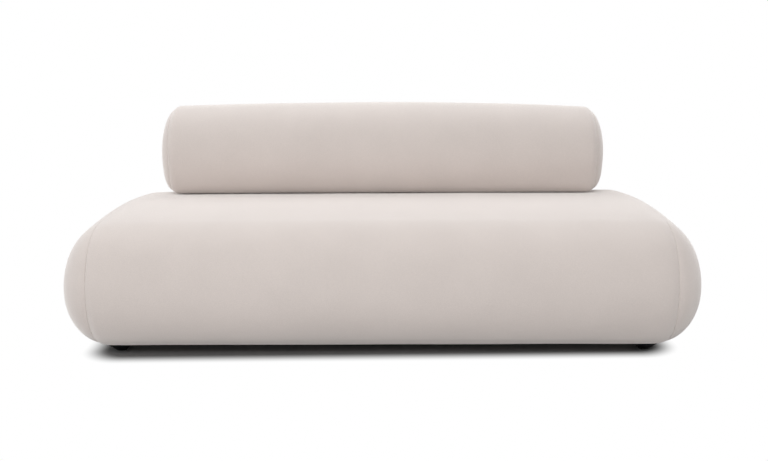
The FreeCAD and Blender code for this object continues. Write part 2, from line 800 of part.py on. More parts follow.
def base_covers():
    wrap = sleeve(base_outline, base_layer, base_wrap_stations, base_seam_x)
    hem_x = frame_x - hem_width - foot_top_radius
    hem_y = frame_y - hem_width
    opening = block(-hem_x, hem_x, -hem_y, hem_y, 0, board_z)
    spigot_holes = []
    for x, y in foot_places().values():
        spigot_holes.append(rod(foot_spigot_radius + slit_clearance, board_z, point(x, y, 0), point(0, 0, 1)))
    wrap = wrap.cut([opening, bracket_room(-1), bracket_room(1)] + spigot_holes)
    dust_x = hem_x - dust_cover_gap
    dust_y = hem_y - dust_cover_gap
    dust_top = board_z - foam_gap
    nodes = {
        "base_wrap_cover": wrap,
        "dust_cover": block(-dust_x, dust_x, -dust_y, dust_y, dust_top - dust_cover_thickness, dust_top),
    }
    for name, side in (("left", -1), ("right", 1)):
        nodes["base_" + name + "_end_panel"] = end_panel(
            base_outline, base_layer, base_end_stations, base_dome_start, base_end_bulge, base_seam_x, side)
    return nodes


# Bolster
beam_x = bolster_length / 2 - beam_end_inset
disc_x = beam_x + end_disc_thickness


def disc_screw_points():
    points = []
    for side in (-1, 1):
        for step in (-disc_screw_spacing / 2, disc_screw_spacing / 2):
            y, z = arm_frame_point(arm_reach, step)
            points.append((point(side * disc_x, y, z), point(-side, 0, 0)))
    return points


def bolster_core():
    screw_holes = []
    for side in (-1, 1):
        screw_holes += [arm_screw(seat, hole_clearance) for seat in arm_screw_points(side)]
    disc_holes = []
    disc_screws = []
    for start, direction in disc_screw_points():
        disc_holes.append(rod(disc_screw_radius + hole_clearance, disc_screw_length + hole_clearance, start,
                              direction))
        disc_screws.append(rod(disc_screw_radius, disc_screw_length, start, direction))
    beam = arm_block(-beam_x, beam_x, beam_face, beam_face + beam_width, beam_width / 2)
    nodes = {
        "bolster_beam": beam.cut(screw_holes + disc_holes),
        "disc_screws": Part.makeCompound(disc_screws),
    }
    for name, side in (("left", -1), ("right", 1)):
        start = point(side * beam_x, bolster_centre_y, bolster_z)
        disc = rod(end_disc_radius, end_disc_thickness, start, point(side, 0, 0))
        nodes["bolster_" + name + "_end_disc"] = disc.cut(disc_holes)
    return nodes


def bolster_soft_parts():
    rooms = [arm_room(-1), arm_room(1)]
    stations = both_ways(bolster_wrap_stations + bolster_end_stations[1:])
    body = bolster_layer(stations, foam_depth, True)
    far = bolster_length
    roll = body.common(block(-beam_x, beam_x, -far, far, -far, far))
    beam_room = arm_block(-far, far, beam_face - foam_gap, beam_face + beam_width + foam_gap,
                          beam_width / 2 + foam_gap)
    wrap = sleeve(bolster_outline, bolster_layer, bolster_wrap_stations, bolster_seam_x)
    nodes = {
        "bolster_foam": roll.cut([beam_room] + rooms),
        "bolster_wrap_cover": wrap.cut(rooms),
    }
    for name, side in (("left", -1), ("right", 1)):
        ends = sorted((side * (disc_x + foam_gap), side * far))
        nodes["bolster_" + name + "_end_foam"] = body.common(block(ends[0], ends[1], -far, far, -far, far))
        nodes["bolster_" + name + "_end_panel"] = end_panel(
            bolster_outline, bolster_layer, bolster_end_stations, bolster_dome_start, bolster_end_bulge,
            bolster_seam_x, side)
    return nodes


def all_nodes():
    nodes = {}
    for group in (timber_frame, slat_bed, feet, hinges, base_foam, base_covers, bolster_core,
                  bolster_soft_parts):
        nodes.update(group())
    return nodes


os.makedirs("parts", exist_ok=True)
for node_name, shape in all_nodes().items():
    shape.exportStep(os.path.join("parts", node_name + ".step"))
    solids = [solid.Volume for solid in shape.Solids]
    print(node_name, len(solids), shape.isValid(), round(sum(solids)))
print("pivot", round(pivot_y, 3), round(pivot_z, 3), "flip degrees", round(math.degrees(flip_angle), 3))
print("bolster centre", round(bolster_centre_y, 3), round(bolster_z, 3), "arm reach", round(arm_reach, 3))
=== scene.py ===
import json
import math

import bmesh
import bpy
import numpy
from mathutils import Matrix, Vector, noise


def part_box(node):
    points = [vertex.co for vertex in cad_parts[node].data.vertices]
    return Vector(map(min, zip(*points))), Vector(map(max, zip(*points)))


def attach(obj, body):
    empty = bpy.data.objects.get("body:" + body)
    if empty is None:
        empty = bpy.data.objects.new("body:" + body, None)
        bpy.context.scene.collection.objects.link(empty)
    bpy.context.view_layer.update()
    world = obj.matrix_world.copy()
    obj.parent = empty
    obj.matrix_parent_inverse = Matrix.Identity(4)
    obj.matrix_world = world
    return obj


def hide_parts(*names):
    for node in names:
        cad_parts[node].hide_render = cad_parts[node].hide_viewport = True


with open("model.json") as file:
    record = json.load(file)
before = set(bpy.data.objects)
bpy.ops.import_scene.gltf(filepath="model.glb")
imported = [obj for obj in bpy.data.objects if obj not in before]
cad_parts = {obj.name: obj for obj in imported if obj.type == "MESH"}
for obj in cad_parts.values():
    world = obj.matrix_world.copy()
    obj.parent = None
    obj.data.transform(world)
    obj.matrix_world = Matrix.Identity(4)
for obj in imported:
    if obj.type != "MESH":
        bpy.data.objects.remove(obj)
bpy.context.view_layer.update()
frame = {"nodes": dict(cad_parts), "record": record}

# Sofa bed: covers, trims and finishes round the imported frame.
# Metres. X runs along the sofa, Y from front to rear, Z up.

scene = bpy.context.scene

# Base cover, from the frame and from the sizes of its solids
wrap_low, wrap_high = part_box("base_wrap_cover")
half_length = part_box("base_right_end_panel")[1].x
half_depth = wrap_high.y
seat_height = wrap_high.z
base_seam_x = wrap_high.x
lower_roll = 0.188
crown_rise = 0.015
seat_end_drops = (0.004, 0.001)
base_bulge = 0.142
base_tip = 0.014
base_pinch = 0.0042
base_pinch_reach = 0.024
base_pinch_level = 0.35
face_draw = 0.013
face_draw_reach = 0.104
roll_z = wrap_low.z + lower_roll
upper_roll = seat_height - crown_rise - roll_z
base_draw = min(lower_roll, upper_roll) - base_tip
base_dome_x = half_length - base_bulge
lower_y = half_depth - lower_roll
upper_y = half_depth - upper_roll
crown_radius = (upper_y ** 2 + (seat_height - roll_z) ** 2 - upper_roll ** 2) / (2 * crown_rise)
crown_z = seat_height - crown_radius
crown_lean = math.atan2(upper_y, roll_z - crown_z)

# Bolster cover
bolster_low, bolster_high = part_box("bolster_wrap_cover")
bolster_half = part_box("bolster_right_end_panel")[1].x
bolster_seam_x = bolster_high.x
bolster_radius = 0.190
bolster_end_drops = (0.012, 0.022)
bolster_underside = 0.143
bolster_corner = 0.070
bolster_bulge = 0.066
bolster_tip = 0.045
bolster_pinch = 0.003
bolster_pinch_reach = 0.014
bolster_y = (bolster_low.y + bolster_high.y) / 2
bolster_z = bolster_high.z - bolster_radius
bolster_tilt = math.atan2(bolster_y, bolster_z - crown_z)
bolster_draw = bolster_radius - sum(bolster_end_drops) / 2 - bolster_tip
bolster_dome_x = bolster_half - bolster_bulge
corner_reach = bolster_radius - bolster_corner
corner_spread = math.acos((bolster_underside - bolster_corner) / corner_reach)
bolster_middle = Vector((0.0, bolster_y, bolster_z))
bolster_down = Vector((0.0, -math.sin(bolster_tilt), -math.cos(bolster_tilt)))

# Fineness of the covers' meshes
roll_steps = 28
flat_steps = 48
base_rows = 160
base_neck_rows = 8
base_end_rows = 20
corner_steps = 8
round_steps = 84
underside_steps = 20
bolster_rows = 140
bolster_neck_rows = 7
bolster_end_rows = 16
tip_cuts = 3

# Swelling of the covers over their filling
settle_frames = 20
settle_limit = 0.004
wrap_smooth_rounds = 40
end_smooth_rounds = 400
start_inset = 0.0005
hold_margin = 0.001
least_move = 1e-9
cloth_quality = 6
cloth_mass = 0.3
cloth_tension = 40.0
cloth_shear = 20.0
cloth_bending = 5.0
filling_pressure = 4.0

# Seams and small unevenness
cover_thickness = 0.002
seam_fold = 0.008
seam_round = 0.0018
seam_gap = 0.00005
seam_segments = 3
pucker_height = 0.0009
pucker_reach = 0.045
pucker_pitch = 0.016
seam_catch = pucker_reach / 3
uneven_height = 0.0009
uneven_pitch = 0.30

# Slits for the hinges, with bound edges
hinge_x = 0.550
base_slit_half = 0.0175
base_slit_angles = (33.0, 53.5)
bolster_slit_half = 0.0075
bolster_slit_angles = (-41.5, -27.5)
slit_margin = 0.03
patch_far = 1.0
slit_turn_in = 0.012
slit_binding = 0.0026
binding_rounding = 3
cut_tolerance = 1e-6

# Underside
hem_gap = 0.0005
hem_turn_in = 0.002
dust_thickness = 0.0012
dust_sag = 0.004
dust_segments = (80, 30)
dust_ripple = 0.4
dust_ripple_scale = 6.0
staple_pitch = 0.065
staple_inset = 0.012
staple_size = (0.011, 0.0012, 0.0009)
staple_round = 0.0003
staple_drop = 1.5 * dust_thickness


def edges_of(geometry):
    """Edges among the geometry that an operator gives."""
    return [part for part in geometry if isinstance(part, bmesh.types.BMEdge)]


def verts_of(geometry):
    """Vertices among the geometry that an operator gives."""
    return [part for part in geometry if isinstance(part, bmesh.types.BMVert)]


def corners_of(shapes):
    """Vertices of some edges or faces, each once and in order."""
    return list(dict.fromkeys(vert for shape in shapes for vert in shape.verts))


def new_piece(name, bm):
    """Puts a finished bmesh into the scene as a smooth piece of its own."""
    mesh = bpy.data.meshes.new(name)
    bm.to_mesh(mesh)
    bm.free()
    mesh.shade_smooth()
    piece = bpy.data.objects.new(name, mesh)
    scene.collection.objects.link(piece)
    return piece


# Outlines and tubes of the covers
def carried_round(bm, vert, centre, degrees, steps):
    """Spins a vertex round an axis along X through a (y, z) centre, and gives the last vertex."""
    made = bmesh.ops.spin(bm, geom=[vert], cent=(0.0, centre[0], centre[1]), axis=(1.0, 0.0, 0.0),
                          angle=math.radians(degrees), steps=steps)
    return verts_of(made["geom_last"])[0]


def closed_flat(bm, last, first, steps):
    """Closes a ring with a straight run of edges."""
    run = bm.edges.new((last, first))
    bmesh.ops.subdivide_edges(bm, edges=[run], cuts=steps - 1)


def base_ring(bm):
    """Outline of the base: lower roll, upper roll, crowned seat, and the same down the front."""
    first = bm.verts.new((0.0, lower_y, wrap_low.z))
    upper_turn = 90 - math.degrees(crown_lean)
    last = carried_round(bm, first, (lower_y, roll_z), 90, roll_steps)
    last = carried_round(bm, last, (upper_y, roll_z), upper_turn, roll_steps)
    last = carried_round(bm, last, (0.0, crown_z), 2 * math.degrees(crown_lean), flat_steps)
    last = carried_round(bm, last, (-upper_y, roll_z), upper_turn, roll_steps)
    last = carried_round(bm, last, (-lower_y, roll_z), 90, roll_steps)
    closed_flat(bm, last, first, flat_steps)


def bolster_corner_middle(side):
    """(y, z) of the middle of a soft corner, the rear one for side 1."""
    angle = math.radians(-90) - bolster_tilt + side * corner_spread
    return (bolster_y + corner_reach * math.cos(angle), bolster_z + corner_reach * math.sin(angle))


def bolster_ring(bm):
    """Outline of the bolster: round, with a flat underside and soft corners."""
    spread = math.degrees(corner_spread)
    rear = bolster_corner_middle(1)
    first = bm.verts.new(Vector((0.0, rear[0], rear[1])) + bolster_down * bolster_corner)
    last = carried_round(bm, first, rear, spread, corner_steps)
    last = carried_round(bm, last, (bolster_y, bolster_z), 360 - 2 * spread, round_steps)
    last = carried_round(bm, last, bolster_corner_middle(-1), spread, corner_steps)
    closed_flat(bm, last, first, underside_steps)


def drawn_out(bm, stations):
    """Extrudes the ring along X through the stations, and gives the edges of the last ring."""
    ring = list(bm.edges)
    for vert in bm.verts:
        vert.co.x = stations[0]
    for x in stations[1:]:
        made = bmesh.ops.extrude_edge_only(bm, edges=ring)["geom"]
        fresh = set(verts_of(made))
        for vert in fresh:
            vert.co.x = x
        ring = [edge for edge in edges_of(made) if fresh.issuperset(edge.verts)]
    return ring


def ring_order(ring):
    """Vertices of a closed ring of edges in order, from the foremost one."""
    start = min((vert for edge in ring for vert in edge.verts), key=lambda vert: vert.co.y)
    inside = set(ring)
    order = [start]
    edge = next(e for e in start.link_edges if e in inside)
    while True:
        vert = edge.other_vert(order[-1])
        if vert is start:
            return order
        order.append(vert)
        edge = next(e for e in vert.link_edges if e in inside and e is not edge)


def closed_tip(bm, ring):
    """Closes the last ring of a domed end with rungs between its upper and lower half."""
    order = ring_order(ring)
    half = len(order) // 2
    ends = {order[0], order[half]}
    bmesh.ops.bridge_loops(bm, edges=[e for e in ring if not ends & set(e.verts)])
    for index in (0, half):
        corner = [order[index], order[index - 1], order[(index + 1) % len(order)]]
        bmesh.ops.contextual_create(bm, geom=corner)
    inside = set(order)
    outline = set(ring)
    rungs = [e for e in bm.edges if e not in outline and inside.issuperset(e.verts)]
    bmesh.ops.subdivide_edges(bm, edges=rungs, cuts=tip_cuts, use_grid_fill=True)


# Forms of the covers
def base_normal(y, z):
    """Outward direction of the base's section at a point of its outline."""
    side = math.copysign(1.0, y)
    if z < roll_z and abs(y) < lower_y:
        return Vector((0.0, 0.0, -1.0))
    centre = (side * lower_y, roll_z)
    if z >= roll_z:
        centre = (side * upper_y, roll_z)
        if abs(y) < crown_radius * math.sin(crown_lean):
            centre = (0.0, crown_z)
    return Vector((0.0, y - centre[0], z - centre[1])).normalized()


def dome(x, start, bulge, draw):
    """How far a bulging end has drawn in at x."""
    share = min(1.0, max(0.0, (abs(x) - start) / bulge))
    return draw * (1 - math.sqrt(1 - share ** 2))


def pinch(x, seam_x, depth, reach):
    """How far the cover is drawn in beside its seam."""
    return depth * max(0.0, 1 - abs(abs(x) - seam_x) / reach) ** 2


def shape_base(bm):
    """Draws the straight tube in at its ends and seams."""
    for vert in bm.verts:
        x, y, z = vert.co
        vert.co -= base_normal(y, z) * dome(x, base_dome_x, base_bulge, base_draw)
        height = max(0.0, (z - roll_z) / (seat_height - roll_z))
        vert.co.z -= height * seat_end_drops[x > 0] * min(1.0, abs(x) / base_seam_x) ** 2


def shape_bolster(bm):
    """Narrows the bolster towards its ends and draws the ends in."""
    for vert in bm.verts:
        x = vert.co.x
        arm = Vector((0.0, vert.co.y, vert.co.z)) - bolster_middle
        rounding = (bolster_underside - arm.dot(bolster_down)) / bolster_corner
        rounding = min(1.0, max(0.0, rounding))
        drop = bolster_end_drops[x > 0] * min(1.0, abs(x) / bolster_seam_x) ** 2
        arm -= arm.normalized() * drop * rounding * (2 - rounding)
        radius = bolster_radius - drop
        arm *= (radius - dome(x, bolster_dome_x, bolster_bulge, bolster_draw)) / radius
        vert.co = Vector((x, bolster_y + arm.y, bolster_z + arm.z))


def even_steps(start, end, steps):
    """Values from start to end with equal steps between them."""
    return [start + (end - start) * step / steps for step in range(steps + 1)]


def wrap_stations(dome_x, seam_x, rows, neck_rows):
    """Stations of a wrap from its left seam to its right one, closer together beside the seams."""
    neck = even_steps(dome_x, seam_x, neck_rows)[1:]
    return [-x for x in reversed(neck)] + even_steps(-dome_x, dome_x, rows) + neck


def end_stations(dome_x, seam_x, bulge, rows, side):
    """Stations of a domed end from its seam to its tip."""
    first = math.asin((seam_x - dome_x) / bulge)
    return [side * (dome_x + bulge * math.sin(angle)) for angle in even_steps(first, math.pi / 2, rows)]


def drawn_cover(name, ring, shape, stations, side):
    """Draws an outline out through the stations, shapes it and closes a domed end at its tip."""
    bm = bmesh.new()
    ring(bm)
    tip = drawn_out(bm, stations)
    shape(bm)
    if side:
        closed_tip(bm, tip)
    bmesh.ops.recalc_face_normals(bm, faces=bm.faces)
    return new_piece(name, bm)


def base_cover(name, side=0):
    """Wrap of the base, or its domed end on one side."""
    stations = wrap_stations(base_dome_x, base_seam_x, base_rows, base_neck_rows)
    if side:
        stations = end_stations(base_dome_x, base_seam_x, base_bulge, base_end_rows, side)
    return drawn_cover(name, base_ring, shape_base, stations, side)


def bolster_cover(name, side=0):
    """Wrap of the bolster, or its domed end on one side."""
    stations = wrap_stations(bolster_dome_x, bolster_seam_x, bolster_rows, bolster_neck_rows)
    if side:
        stations = end_stations(bolster_dome_x, bolster_seam_x, bolster_bulge, bolster_end_rows, side)
    return drawn_cover(name, bolster_ring, shape_bolster, stations, side)


# Swelling
def is_held(place, bolster):
    """Whether a seam, the staples or the seat hold the cover still at a place."""
    seam_x = bolster_seam_x if bolster else base_seam_x
    if abs(abs(place.x) - seam_x) < hold_margin:
        return True
    if bolster:
        return (place - bolster_middle).dot(bolster_down) > bolster_underside - hold_margin
    pressed = place.z > roll_z and abs(place.x) < bolster_seam_x
    if pressed and bolster_low.y + bolster_corner < place.y < bolster_high.y - bolster_corner:
        return True
    return place.z < wrap_low.z + hold_margin


def fit_cloth(piece):
    """Starts a cover a little small, sets its cloth up to swell, and gives its held vertices."""
    bolster = piece.name.startswith("bolster")
    held = [vert.index for vert in piece.data.vertices if is_held(vert.co, bolster)]
    kept = set(held)
    normals = [vert.normal.copy() for vert in piece.data.vertices]
    for vert, normal in zip(piece.data.vertices, normals):
        if vert.index not in kept:
            vert.co -= normal * start_inset
    group = piece.vertex_groups.new(name="held")
    group.add(held, 1.0, "REPLACE")
    cloth = piece.modifiers.new("swell", "CLOTH")
    cloth.point_cache.frame_start = 1
    cloth.point_cache.frame_end = settle_frames
    settings = cloth.settings
    settings.quality = cloth_quality
    settings.mass = cloth_mass
    settings.tension_stiffness = cloth_tension
    settings.compression_stiffness = cloth_tension
    settings.shear_stiffness = cloth_shear
    settings.bending_stiffness = cloth_bending
    settings.vertex_group_mass = group.name
    settings.use_pressure = True
    settings.uniform_pressure_force = filling_pressure
    settings.effector_weights.gravity = 0.0
    return held


def evened(piece, moves, held):
    """Caps the moves softly and evens them out between neighbours, as in a taut cover."""
    lengths = numpy.linalg.norm(moves, axis=1, keepdims=True)
    moves = moves * settle_limit * numpy.tanh(lengths / settle_limit) / numpy.maximum(lengths, least_move)
    ends = numpy.array([edge.vertices[:] for edge in piece.data.edges])
    counts = numpy.bincount(ends.ravel(), minlength=len(moves))[:, None]
    for turn in range(wrap_smooth_rounds if piece.name.endswith("wrap") else end_smooth_rounds):
        total = numpy.zeros_like(moves)
        numpy.add.at(total, ends[:, 0], moves[ends[:, 1]])
        numpy.add.at(total, ends[:, 1], moves[ends[:, 0]])
        moves = (moves + total / counts) / 2
        moves[held] = 0.0
    return moves


def settle(pieces):
    """Swells the covers over their filling in a cloth simulation, and keeps the result in their meshes."""
    held = [fit_cloth(piece) for piece in pieces]
    for number in range(1, settle_frames + 1):
        scene.frame_set(number)
    depsgraph = bpy.context.evaluated_depsgraph_get()
    swollen = []
    for piece in pieces:
        cloth = piece.evaluated_get(depsgraph).to_mesh()
        swollen.append(numpy.array([vert.co for vert in cloth.vertices]))
    for piece, kept, places in zip(pieces, held, swollen):
        piece.modifiers.clear()
        piece.vertex_groups.clear()
        moves = evened(piece, places - numpy.array([vert.co for vert in piece.data.vertices]), kept)
        for vert, move in zip(piece.data.vertices, moves):
            vert.co += Vector(move)
    scene.frame_set(1)


# Seams, slits and hems
def seam_draw(place, bolster):
    """How the sewn seam draws the cover in at a place."""
    if bolster:
        inward = (bolster_middle - place) * Vector((0.0, 1.0, 1.0))
        return inward.normalized() * pinch(place.x, bolster_seam_x, bolster_pinch, bolster_pinch_reach)
    outward = base_normal(place.y, place.z)
    upright = outward.y ** 2
    inward = pinch(place.x, base_seam_x, base_pinch, base_pinch_reach)
    inward *= base_pinch_level + (1 - base_pinch_level) * upright
    inward += pinch(place.x, base_seam_x, face_draw, face_draw_reach) * upright
    return outward * -inward


def soften(bm, seam_x, bolster):
    """Draws a cover in beside its seam, with small puckers, and gives it the unevenness of hand work."""
    bm.normal_update()
    moves = []
    for vert in bm.verts:
        height = uneven_height * noise.noise(vert.co / uneven_pitch)
        near = max(0.0, 1 - abs(abs(vert.co.x) - seam_x) / pucker_reach)
        along = Vector((math.copysign(1.0, vert.co.x), vert.co.y / pucker_pitch, vert.co.z / pucker_pitch))
        height += pucker_height * near ** 2 * noise.noise(along)
        moves.append(vert.normal * height + seam_draw(vert.co, bolster))
    for vert, move in zip(bm.verts, moves):
        vert.co += move


def turned_in(bm, edges, depth, lean):
    """Extrudes a rim of edges into the cover, with the given share of the surface's lean along X."""
    rim = {}
    for vert in corners_of(edges):
        rim[vert] = (vert.normal * Vector((lean, 1.0, 1.0))).normalized()
    fresh = verts_of(bmesh.ops.extrude_edge_only(bm, edges=edges)["geom"])
    for vert in fresh:
        outer = next(e.other_vert(vert) for e in vert.link_edges if e.other_vert(vert) in rim)
        vert.co -= rim[outer] * depth


def fold_seam(bm, seam_x, side_of_seam):
    """Turns a cover's open edge down into its seam, with a soft rounding."""
    bm.normal_update()
    edges = []
    for edge in bm.edges:
        if edge.is_boundary and all(abs(abs(v.co.x) - seam_x) < seam_catch for v in edge.verts):
            edges.append(edge)
    for vert in corners_of(edges):
        vert.co.x += side_of_seam * math.copysign(seam_gap, vert.co.x)
    turned_in(bm, edges, seam_fold, 0.0)
    bmesh.ops.bevel(bm, geom=edges, offset=seam_round, offset_type="OFFSET", segments=seam_segments,
                    profile=0.5, affect="EDGES", clamp_overlap=True, material=-1)


def patch_round(bm, low, high):
    """Faces, edges and vertices of the cover inside a box."""
    faces = []
    for face in bm.faces:
        place = face.calc_center_median()
        if all(low[axis] < place[axis] < high[axis] for axis in range(3)):
            faces.append(face)
    edges = dict.fromkeys(edge for face in faces for edge in face.edges)
    return [*faces, *edges, *corners_of(faces)]


def cut_out(bm, low, high, planes):
    """Cuts what lies behind all the planes out of a patch of the cover, and gives the rim's edges."""
    for place, outward in planes:
        patch = patch_round(bm, low, high)
        bmesh.ops.bisect_plane(bm, geom=patch, dist=cut_tolerance, plane_co=place, plane_no=outward)
    gone = []
    for face in patch_round(bm, low, high):
        if isinstance(face, bmesh.types.BMFace):
            middle = face.calc_center_median()
            if all((middle - place).dot(outward) < 0 for place, outward in planes):
                gone.append(face)
    rim = dict.fromkeys(edge for face in gone for edge in face.edges)
    rim = [edge for edge in rim if not set(edge.link_faces).issubset(gone)]
    bmesh.ops.delete(bm, geom=gone, context="FACES")
    return rim


def slit(bm, x, half, centre, degrees):
    """Cuts a hinge slit between two angles round a (y, z) centre, and gives the places along its rim."""
    middle = Vector((x, centre[0], centre[1]))
    planes = [(middle + Vector((side * half, 0.0, 0.0)), Vector((side, 0.0, 0.0))) for side in (-1, 1)]
    for angle, side in zip(degrees, (-1, 1)):
        turn = math.radians(angle)
        planes.append((middle, Vector((0.0, -math.sin(turn), math.cos(turn))) * side))
    reach = half + slit_margin
    low = (x - reach, centre[0], -patch_far)
    high = (x + reach, patch_far, patch_far)
    rim = cut_out(bm, low, high, planes)
    places = [vert.co.copy() for vert in ring_order(rim)]
    bm.normal_update()
    turned_in(bm, rim, slit_turn_in, 1.0)
    return places


def bound_edges(name, rims):
    """Corded binding round the rims of the slits."""
    cord = bpy.data.curves.new(name, "CURVE")
    cord.dimensions = "3D"
    cord.bevel_depth = slit_binding
    cord.bevel_resolution = binding_rounding
    for rim in rims:
        spline = cord.splines.new("POLY")
        spline.points.add(len(rim) - 1)
        for point, place in zip(spline.points, rim):
            point.co = (*place, 1.0)
        spline.use_cyclic_u = True
    lead = bpy.data.objects.new(name + "_lead", cord)
    scene.collection.objects.link(lead)
    depsgraph = bpy.context.evaluated_depsgraph_get()
    mesh = bpy.data.meshes.new_from_object(lead.evaluated_get(depsgraph))
    bpy.data.objects.remove(lead)
    mesh.name = name
    mesh.shade_smooth()
    piece = bpy.data.objects.new(name, mesh)
    scene.collection.objects.link(piece)
    return piece


def hem_opening(bm):
    """Cuts the opening for the dust cover out of the wrap's underside and turns its hem in."""
    low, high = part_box("dust_cover")
    middle = (low + high) / 2
    reach = (high - low) / 2
    planes = []
    for axis in (0, 1):
        for side in (-1, 1):
            outward = Vector((0.0, 0.0, 0.0))
            outward[axis] = side
            planes.append((middle + outward * (reach[axis] + hem_gap), outward))
    patch_low = (low.x - slit_margin, low.y - slit_margin, -patch_far)
    patch_high = (high.x + slit_margin, high.y + slit_margin, wrap_low.z + slit_margin)
    rim = cut_out(bm, patch_low, patch_high, planes)
    bm.normal_update()
    turned_in(bm, rim, hem_turn_in, 1.0)


def finish_cover(piece):
    """Adds the small unevenness, seams and openings of a cover, and the cloth's thickness."""
    bolster = piece.name.startswith("bolster")
    wrap = piece.name.endswith("wrap")
    seam_x = bolster_seam_x if bolster else base_seam_x
    bm = bmesh.new()
    bm.from_mesh(piece.data)
    soften(bm, seam_x, bolster)
    fold_seam(bm, seam_x, -1 if wrap else 1)
    slit_form = (base_slit_half, (upper_y, roll_z), base_slit_angles)
    if bolster:
        slit_form = (bolster_slit_half, (bolster_y, bolster_z), bolster_slit_angles)
    rims = []
    if wrap:
        rims = [slit(bm, side * hinge_x, *slit_form) for side in (-1, 1)]
    if wrap and not bolster:
        hem_opening(bm)
    bm.to_mesh(piece.data)
    bm.free()
    piece.data.shade_smooth()
    cloth = piece.modifiers.new("cloth", "SOLIDIFY")
    cloth.thickness = cover_thickness
    cloth.offset = -1.0
    return rims


# Underside pieces
def dust_cover():
    """Lining cloth stapled under the board, sagging a little."""
    low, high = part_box("dust_cover")
    width = high.x - low.x
    depth = high.y - low.y
    bm = bmesh.new()
    bmesh.ops.create_grid(bm, x_segments=dust_segments[0], y_segments=dust_segments[1], size=0.5)
    bmesh.ops.scale(bm, vec=(width, depth, 1.0), verts=bm.verts)
    bmesh.ops.translate(bm, vec=(0.0, 0.0, high.z - dust_thickness), verts=bm.verts)
    for vert in bm.verts:
        share = (1 - (2 * vert.co.x / width) ** 2) * (1 - (2 * vert.co.y / depth) ** 2)
        vert.co.z -= dust_sag * share * (1 + dust_ripple * noise.noise(vert.co * dust_ripple_scale))
    bmesh.ops.reverse_faces(bm, faces=bm.faces)
    piece = new_piece("dust_lining", bm)
    cloth = piece.modifiers.new("cloth", "SOLIDIFY")
    cloth.thickness = dust_thickness
    cloth.offset = -1.0
    return piece


def staple_places(high):
    """(x, y, turned) of each staple round the lining's edge."""
    places = []
    reach_x = high.x - staple_inset
    reach_y = high.y - staple_inset
    count_x = round(2 * reach_x / staple_pitch)
    count_y = round(2 * reach_y / staple_pitch)
    for x in even_steps(-reach_x, reach_x, count_x):
        places += [(x, side * reach_y, 0.0) for side in (-1, 1)]
    for y in even_steps(-reach_y, reach_y, count_y)[1:-1]:
        places += [(side * reach_x, y, math.pi / 2) for side in (-1, 1)]
    return places


def lining_staples():
    """Wire staples with rounded edges round the lining."""
    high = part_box("dust_cover")[1]
    bm = bmesh.new()
    for x, y, turn in staple_places(high):
        place = Matrix.Translation((x, y, high.z - staple_drop)) @ Matrix.Rotation(turn, 4, "Z")
        made = bmesh.ops.create_cube(bm, size=1.0)["verts"]
        bmesh.ops.scale(bm, vec=staple_size, verts=made)
        edges = list(dict.fromkeys(edge for vert in made for edge in vert.link_edges))
        rounded = bmesh.ops.bevel(bm, geom=edges, offset=staple_round, offset_type="OFFSET", segments=1,
                                  profile=0.5, affect="EDGES", clamp_overlap=True, material=-1)
        bmesh.ops.transform(bm, matrix=place, verts=corners_of(rounded["faces"]))
    return new_piece("lining_staples", bm)


# Materials
velour_colour = (0.66, 0.594, 0.559)
velour_roughness = 0.92
velour_specular = 0.2
sheen_weight = 1.0
sheen_roughness = 0.5
sheen_tint = (1.0, 0.965, 0.945, 1.0)
nap_scale = 7.0
pile_scale = 420.0
pile_tone_share = 0.7
velour_contrast = 0.06
twill_scale = 380.0
twill_distortion = 1.5
pile_relief_share = 0.6
grain_detail = 3.0
weave_relief = (0.45, 0.0005)
wood_roughness = 0.62
wood_stretch = (0.06, 1.0, 1.0)
wood_detail = 6.0
fibre_ratio = 9
fibre_detail = 2.0
fibre_share = 0.35
wood_ramp = (0.35, 0.65)
wood_relief = (0.2, 0.0004)
# Name, darker tone, lighter tone and grain scale of each wood
wood_finishes = {
    "pine_timber": ("planed_pine", (0.48, 0.31, 0.16), (0.66, 0.48, 0.29), 60.0),
    "birch_plywood": ("birch_ply", (0.56, 0.41, 0.26), (0.72, 0.57, 0.39), 45.0),
}
# Scale and contrast of each grain, and the strength and depth of its relief
speckled_finishes = {
    "upholstery_foam": {
        "name": "open_cell_foam", "colour": (0.80, 0.74, 0.58), "roughness": 0.95,
        "scale": 500.0, "contrast": 0.12, "relief": (0.6, 0.0008),
    },
    "black_coated_steel": {
        "name": "powder_coat", "colour": (0.02, 0.02, 0.022), "roughness": 0.5,
        "scale": 1300.0, "contrast": 0.15, "relief": (0.25, 0.0002),
    },
    "zinc_plated_steel": {
        "name": "zinc_plate", "colour": (0.55, 0.56, 0.58), "roughness": 0.32, "metallic": 1.0,
        "scale": 160.0, "contrast": 0.12, "relief": (0.08, 0.0002),
    },
    # Feet: black plastic coloured darker than its own black, partly its own colour and partly painted shade
    "black_plastic": {
        "name": "moulded_plastic", "colour": (0.007, 0.007, 0.008), "roughness": 0.6, "specular": 0.08,
        "scale": 1600.0, "contrast": 0.2, "relief": (0.2, 0.0002),
    },
    "black_felt": {
        "name": "pressed_felt", "colour": (0.015, 0.015, 0.015), "roughness": 0.97,
        "scale": 900.0, "contrast": 0.35, "relief": (0.7, 0.0006),
    },
    "black_lining_cloth": {
        "name": "non_woven_lining", "colour": (0.02, 0.02, 0.02), "roughness": 0.9,
        "scale": 700.0, "contrast": 0.3, "relief": (0.5, 0.0003),
    },
    "bronze_washer": {
        "name": "sintered_bronze", "colour": (0.55, 0.36, 0.16), "roughness": 0.42, "metallic": 1.0,
        "scale": 1100.0, "contrast": 0.18, "relief": (0.2, 0.0002),
    },
}


def new_material(name, colour, roughness, metallic=0.0):
    """Material with its Principled shader set, and its nodes at hand."""
    material = bpy.data.materials.new(name)
    material.use_nodes = True
    shader = material.node_tree.nodes["Principled BSDF"]
    shader.inputs["Base Color"].default_value = (*colour, 1.0)
    shader.inputs["Roughness"].default_value = roughness
    shader.inputs["Metallic"].default_value = metallic
    return material, shader


